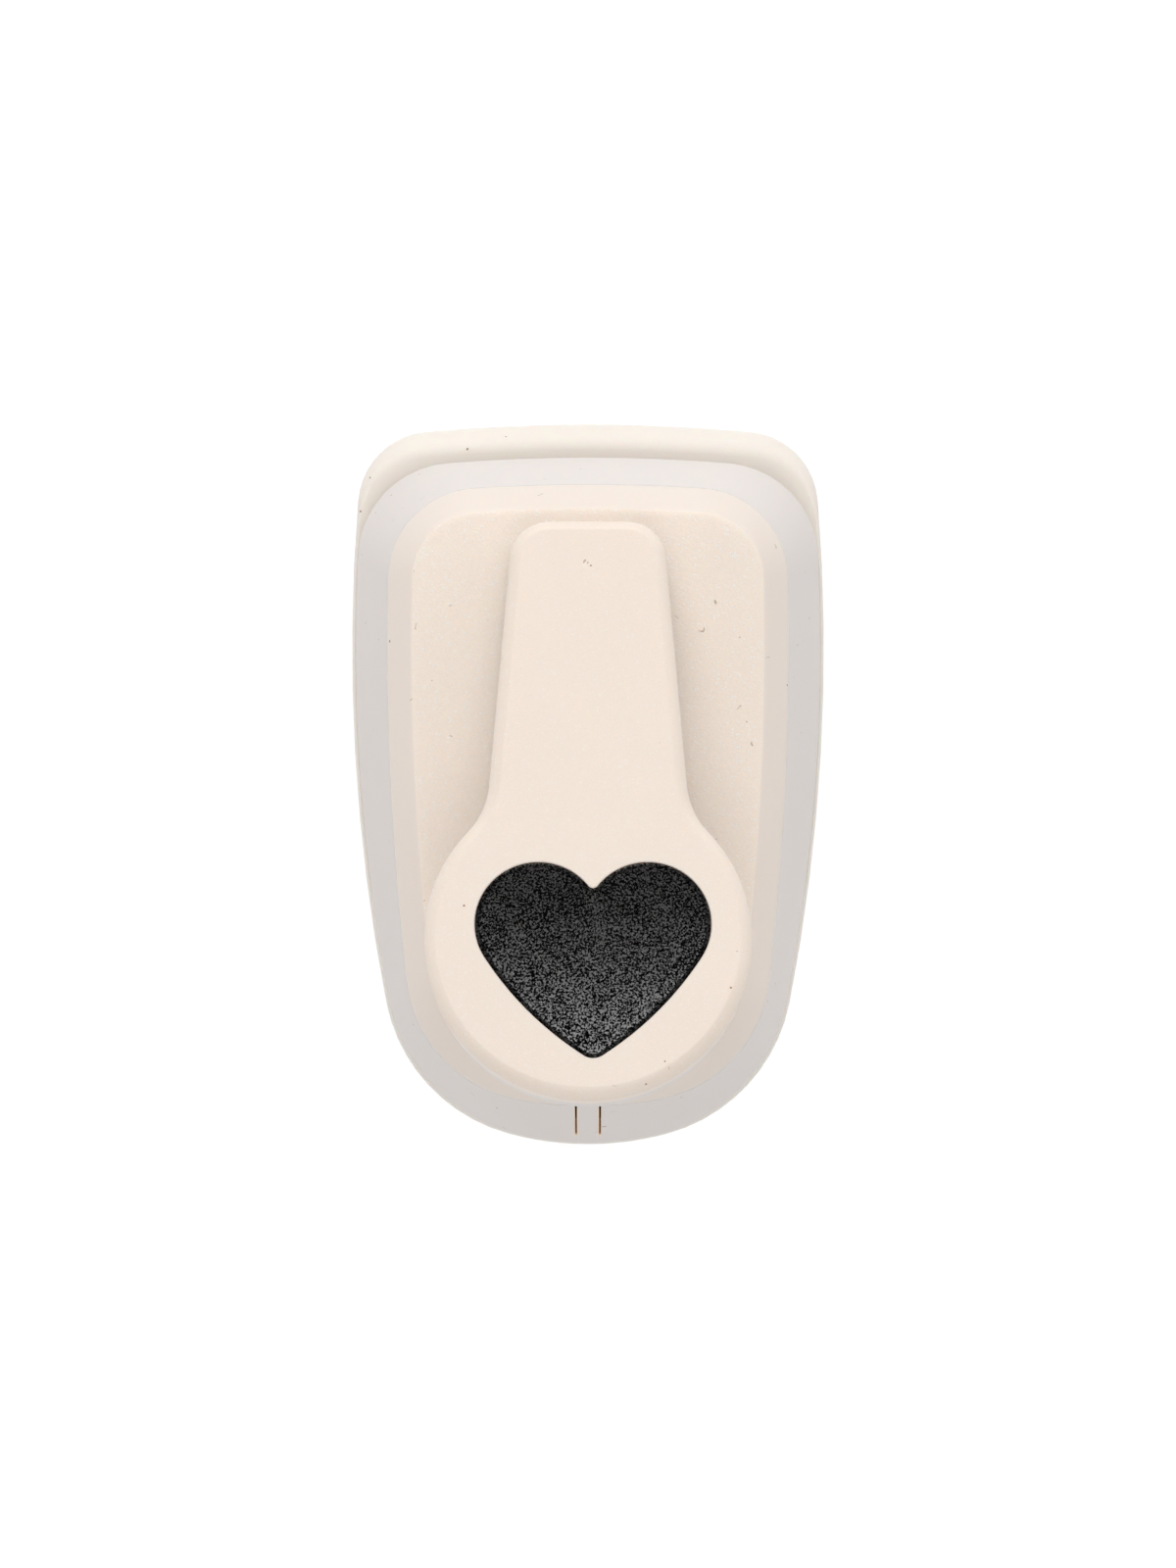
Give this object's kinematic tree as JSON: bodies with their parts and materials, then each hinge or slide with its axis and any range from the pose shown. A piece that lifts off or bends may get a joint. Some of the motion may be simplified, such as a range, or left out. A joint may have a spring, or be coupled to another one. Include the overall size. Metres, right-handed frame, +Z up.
{
  "type": "paper punch",
  "caption": "Lever-operated craft punch that cuts a heart out of paper pushed into the slot at its front.",
  "frame": {"origin": "on the resting face, under the middle of the body's box", "axes": "+Y along the body towards the paper slot, +Z up, +X to the right seen from above with the slot at the top"},
  "size_m": [0.05, 0.0764, 0.0532],
  "materials": {
    "cream_plastic": "fine matt moulded plastic, warm cream",
    "grey_plastic": "satin moulded plastic, light grey",
    "black_inlay": "spark-eroded matt black",
    "tool_steel": "ground tool steel",
    "zinc_casting": "vibro-finished zinc casting",
    "spring_wire": "drawn spring wire",
    "dark_screws": "blackened steel"
  },
  "bodies": {
    "body_frame": {"base_shell": "cream_plastic", "bottom_plate": "cream_plastic", "die_plate": "tool_steel", "throat_spacer": "tool_steel", "guide_block": "zinc_casting", "frame_screws": "dark_screws", "guide_posts": "tool_steel", "post_clips": "dark_screws", "return_spring_left": "spring_wire", "return_spring_right": "spring_wire", "lever_pin": "tool_steel", "pin_clip": "dark_screws", "pin_washers": "tool_steel", "middle_housing": "grey_plastic", "housing_screws": "dark_screws", "top_cover": "cream_plastic", "base_screws_front": "dark_screws", "base_screws_rear": "dark_screws"},
    "lever": {"lever_arm": "tool_steel", "press_bar": "tool_steel", "lever_body": "grey_plastic", "lever_cap": "cream_plastic", "lever_screws": "dark_screws", "heart_inlay": "black_inlay"},
    "ram": {"crosshead": "zinc_casting", "punch_ram": "tool_steel", "ram_screws": "dark_screws"}
  },
  "joints": [
    {"name": "lever_pivot", "type": "hinge", "parent": "body_frame", "child": "lever", "pos_m": [0, 0.0205, 0.027], "axis": [1, 0, 0], "range_deg": [0, 15]},
    {"name": "ram_slide", "type": "slide", "parent": "body_frame", "child": "ram", "axis": [0, 0, -1], "range_m": [0, 0.00421], "stiffness_N_per_m": 75, "springref_m": -0.02, "deforming": ["return_spring_left", "return_spring_right"]}
  ],
  "couplings": [
    {"joint": "ram_slide", "follows": "lever_pivot", "m_per_rad": 0.016092}
  ]
}
